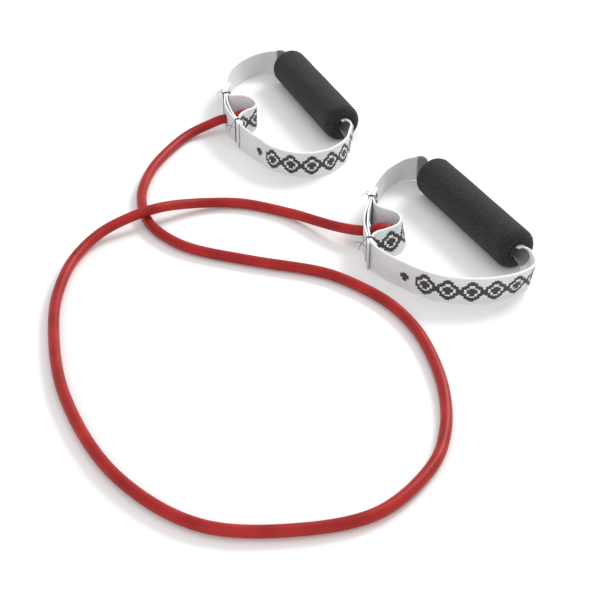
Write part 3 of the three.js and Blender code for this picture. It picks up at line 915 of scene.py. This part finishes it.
def loose_ends(handle, place, material):
    """The cut thread ends that stick out by the seams, two at each."""
    face = LAYER + WEB_THICKNESS / 2
    top = WEB_WIDTH / 2
    tails = {
        "upper": [
            [(-face, 0.0, top - 0.001), (-face - 0.002, 0.0012, top + 0.0012),
             (-face - 0.0045, 0.0005, top + 0.0012), (-face - 0.0062, -0.0012, top - 0.0008)],
            [(-face, 0.001, top - 0.002), (-face - 0.0015, 0.0035, top + 0.0002),
             (-face - 0.001, 0.0058, top + 0.0010), (-face + 0.0006, 0.0062, top + 0.0004)],
        ],
        "lower": [
            [(-face, 0.0, top - 0.001), (-face - 0.003, -0.0012, top - 0.0035),
             (-face - 0.0052, -0.0016, top - 0.0075), (-face - 0.0060, -0.0010, top - 0.0110)],
            [(-face, -0.0014, top - 0.009), (-face - 0.0028, -0.0010, top - 0.0062),
             (-face - 0.0060, 0.0006, top - 0.0052), (-face - 0.0086, 0.0016, top - 0.0060)],
        ],
    }
    made = []
    for seam in ("upper", "lower"):
        for i, tail in enumerate(tails[seam]):
            points = [place @ Vector((x, handle[f"{seam}_seam"] + y, z)) for x, y, z in tail]
            name = f"{handle['name']}_{seam}_thread_end_{i + 1}"
            made.append(thread(name, points, THREAD_RADIUS * 0.9, material))
    return made


def make_seams(handle, material):
    panel = standing(handle["hole"], handle["panel_turn"], WEB_MIDDLE)
    place = panel @ Matrix.Translation((PANEL_BOW, 0, 0))
    body = f"{handle['name']}_handle"
    for seam in ("upper", "lower"):
        name = f"{handle['name']}_{seam}"
        tack = bar_tack(f"{name}_bar_tack", place, handle[f"{seam}_seam"], material)
        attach(tack, body)
        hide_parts(f"{name}_seam")
    for tail in loose_ends(handle, place, material):
        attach(tail, body)


# ------------------------------------------------------------------ eyelets and plugs


def make_eyelet(handle, material):
    place = standing(handle["hole"], handle["panel_turn"], WEB_MIDDLE)
    body = f"{handle['name']}_handle"
    front = -WEB_THICKNESS / 2 - GAP / 3
    washer_from = WEB_THICKNESS / 2 + GAP / 3
    washer_to = washer_from + WASHER_THICKNESS
    barrel = EYELET_BORE + EYELET_WALL
    edge = SHEET_METAL / 2
    flange = [
        *arc(front - edge, EYELET_BORE + edge, edge, 270, 180, 6),
        *arc(front - edge, EYELET_FLANGE_RADIUS - edge, edge, 180, 0, 10),
        (front, barrel), (washer_to, barrel),
        *arc(washer_to + edge, EYELET_LIP_RADIUS - edge, edge, 180, 0, 10),
        *arc(washer_to + edge, EYELET_BORE + edge, edge, 0, -90, 6),
    ]
    eyelet = turned(f"{handle['name']}_rolled_eyelet", flange, place, material)
    bevel = 0.0002
    ring = [
        (washer_from, INNER_HOLE_RADIUS), (washer_from, WASHER_RADIUS - bevel),
        (washer_from + bevel, WASHER_RADIUS), (washer_to - bevel, WASHER_RADIUS),
        (washer_to, WASHER_RADIUS - bevel), (washer_to, INNER_HOLE_RADIUS),
    ]
    washer = turned(f"{handle['name']}_washer", ring, place, material)
    for made, node in ((eyelet, "eyelet"), (washer, "eyelet_washer")):
        bevel_crease(made)
        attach(made, body)
        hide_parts(f"{handle['name']}_{node}")


def make_plug(handle, material):
    """The stop plug: a tapered stem with grip rings, and a domed head against the tube's end."""
    place = standing(handle["hole"], handle["panel_turn"], WEB_MIDDLE)
    start = TUBE_END - PLUG_DEPTH
    head = TUBE_END + GAP
    edge = 0.0004
    rings, first_ring, ring_pitch = 3, 0.0008, 0.0018
    ring_dip, ring_crest, ring_depth = 0.0004, 0.0010, 0.0003
    head_edge, head_rim, dome_steps = 0.0003, 0.0007, 9
    profile = [(start, 0), (start, PLUG_NOSE_RADIUS - edge), (start + edge, PLUG_NOSE_RADIUS)]
    profile.append((start + PLUG_TAPER, PLUG_RADIUS))
    for k in range(rings):
        x = start + PLUG_TAPER + first_ring + k * ring_pitch
        profile += [(x, PLUG_RADIUS), (x + ring_dip, PLUG_RADIUS - ring_depth), (x + ring_crest, PLUG_RADIUS)]
    profile += [
        (head, PLUG_RADIUS), (head, PLUG_HEAD_RADIUS - head_edge), (head + head_edge, PLUG_HEAD_RADIUS),
        (head + head_rim, PLUG_HEAD_RADIUS),
    ]
    for k in range(1, dome_steps):
        angle = math.pi / 2 * k / dome_steps
        rise = (PLUG_HEAD - head_rim) * math.sin(angle)
        profile.append((head + head_rim + rise, PLUG_HEAD_RADIUS * math.cos(angle)))
    profile.append((head + PLUG_HEAD, 0))
    made = turned(f"{handle['name']}_plug", profile, place, material, 64)
    bevel_crease(made)
    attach(made, "tube")
    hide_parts(f"{handle['name']}_stop_plug")
    return made


# ------------------------------------------------------------------ grips


def make_grip(handle, foam, plastic):
    name = handle["name"]
    place = standing(handle["grip"], handle["grip_turn"], GRIP_RADIUS)
    half = GRIP_LENGTH / 2
    bore = CORE_RADIUS + GAP / 3
    lip = 0.0012

    def end(sign):
        outside = arc(half - GRIP_ROUND, GRIP_RADIUS - GRIP_ROUND, GRIP_ROUND, 90, 0, 16)
        inside = arc(half - lip, bore + lip, lip, 0, -90, 6)
        return [(sign * x, radius) for x, radius in [*outside, *inside]]

    rows = 60
    straight = GRIP_LENGTH - 2 * GRIP_ROUND
    barrel = [(half - GRIP_ROUND - straight * k / rows, GRIP_RADIUS) for k in range(1, rows)]
    profile = [*reversed(end(1)), *barrel, *end(-1)]
    grip = turned(f"{name}_foam", profile, place, foam, 120)
    worn(grip, place)
    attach(grip, f"{name}_grip")
    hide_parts(f"{name}_foam_grip")

    reach = half + CORE_PROUD
    rim = (CORE_RADIUS - CORE_BORE) / 2
    profile = [
        *arc(reach - rim, CORE_BORE + rim, rim, -90, 90, 12),
        *arc(rim - reach, CORE_BORE + rim, rim, 90, 270, 12),
    ]
    core = turned(f"{name}_core", profile, place, plastic)
    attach(core, f"{name}_grip")
    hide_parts(f"{name}_core_tube")


def worn(grip, place):
    """Presses hollows into the foam's outside, never outwards and under a third of a millimetre deep."""
    mean_depth, wear_from, wear_full = 0.00016, 0.011, 0.0165
    to_axis = place.inverted()
    for vertex in grip.data.vertices:
        local = to_axis @ vertex.co
        radius = math.hypot(local.y, local.z)
        if radius < CORE_RADIUS + 0.003:
            continue
        wear = smoothstep(radius, wear_from, wear_full)
        depth = mean_depth * (1 + noise.noise(vertex.co * 55)) * wear
        local.y *= 1 - depth / radius
        local.z *= 1 - depth / radius
        vertex.co = place @ local


# ------------------------------------------------------------------ stage


def make_stage():
    mesh = bpy.data.meshes.new("floor")
    size = 12.0
    corners = [(-size, -size, 0), (size, -size, 0), (size, size, 0), (-size, size, 0)]
    mesh.from_pydata(corners, [], [(0, 1, 2, 3)])
    mesh.materials.append(floor_finish())
    floor = bpy.data.objects.new("floor", mesh)
    floor.location.z = -0.0001  # just under the pieces that stand on it
    bpy.context.scene.collection.objects.link(floor)


def soft_box(name, place, target, size, power):
    data = bpy.data.lights.new(name, "AREA")
    data.shape = "RECTANGLE"
    data.size, data.size_y = size
    data.energy = power
    light = bpy.data.objects.new(name, data)
    light.location = place
    light.rotation_euler = (Vector(target) - Vector(place)).to_track_quat("-Z", "Y").to_euler()
    bpy.context.scene.collection.objects.link(light)


def make_light():
    world = bpy.data.worlds.new("studio")
    world.use_nodes = True
    background = world.node_tree.nodes["Background"]
    background.inputs["Color"].default_value = (1, 1, 1, 1)
    background.inputs["Strength"].default_value = 0.78
    bpy.context.scene.world = world
    middle = (-0.05, -0.1, 0)
    soft_box("window", place=(0.92, 0.98, 1.16), target=middle, size=(0.7, 0.5), power=22)
    soft_box("overhead", place=(0.1, 0.2, 1.9), target=middle, size=(1.4, 1.2), power=3)
    soft_box("fill", place=(-0.3, -1.7, 0.9), target=middle, size=(1.4, 1.0), power=6)
    bpy.context.scene.view_settings.view_transform = "Standard"


# ------------------------------------------------------------------ assembly

make_camera()
rubber = rubber_finish()
plug = moulded_finish("plug", (0.13, 0.010, 0.011, 1), (0.19, 0.015, 0.015, 1), 0.5)
tube, route = make_tubing(rubber)
plugs = [make_plug(handle, plug) for handle in HANDLES]

outer_face = webbing_finish("webbing_outer", True)
inner_face = webbing_finish("webbing_inner", False)
sewing_thread = thread_finish()
steel = steel_finish()
closed_cell = foam_finish()
core_plastic = moulded_finish("core_plastic", (0.010, 0.010, 0.011, 1), (0.017, 0.017, 0.018, 1), 0.38)
for handle in HANDLES:
    make_strap(handle, outer_face, inner_face)
    make_seams(handle, sewing_thread)
    make_eyelet(handle, steel)
    make_grip(handle, closed_cell, core_plastic)

make_stage()
make_light()
